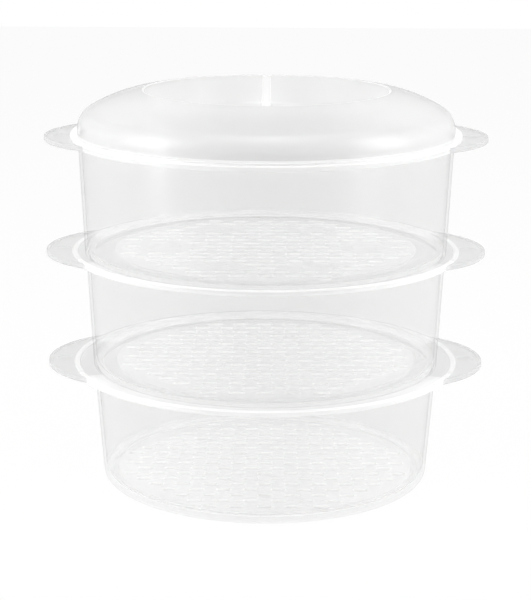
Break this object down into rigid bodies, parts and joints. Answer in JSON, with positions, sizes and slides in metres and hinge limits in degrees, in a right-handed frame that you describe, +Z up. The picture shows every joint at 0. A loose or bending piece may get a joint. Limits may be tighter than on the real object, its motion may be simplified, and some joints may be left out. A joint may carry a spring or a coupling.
{
  "type": "food steamer",
  "caption": "Food steamer stack of round basket bowls with perforated floors and ear handles, nested rim to rim under a domed lid with a recessed grip bar.",
  "frame": {"origin": "centre of the flat ring that the bottom bowl stands on", "axes": "+Z up along the common axis of the bowls and the lid, +X through the right-hand ears, -Y the side that the picture shows"},
  "size_m": [0.274, 0.2412, 0.2466],
  "materials": {
    "bowl_plastic": "satin, milky and translucent",
    "lid_plastic": "satin, milky and translucent"
  },
  "bodies": {
    "bottom_bowl": {"bottom_bowl": "bowl_plastic"},
    "middle_bowl": {"middle_bowl": "bowl_plastic"},
    "top_bowl": {"top_bowl": "bowl_plastic"},
    "lid": {"lid": "lid_plastic"}
  },
  "joints": [
    {"name": "middle_bowl_lift", "type": "slide", "parent": "bottom_bowl", "child": "middle_bowl", "axis": [0, 0, 1], "range_m": [0, 0.09]},
    {"name": "top_bowl_lift", "type": "slide", "parent": "middle_bowl", "child": "top_bowl", "axis": [0, 0, 1], "range_m": [0, 0.09]},
    {"name": "lid_lift", "type": "slide", "parent": "top_bowl", "child": "lid", "axis": [0, 0, 1], "range_m": [0, 0.09]}
  ]
}
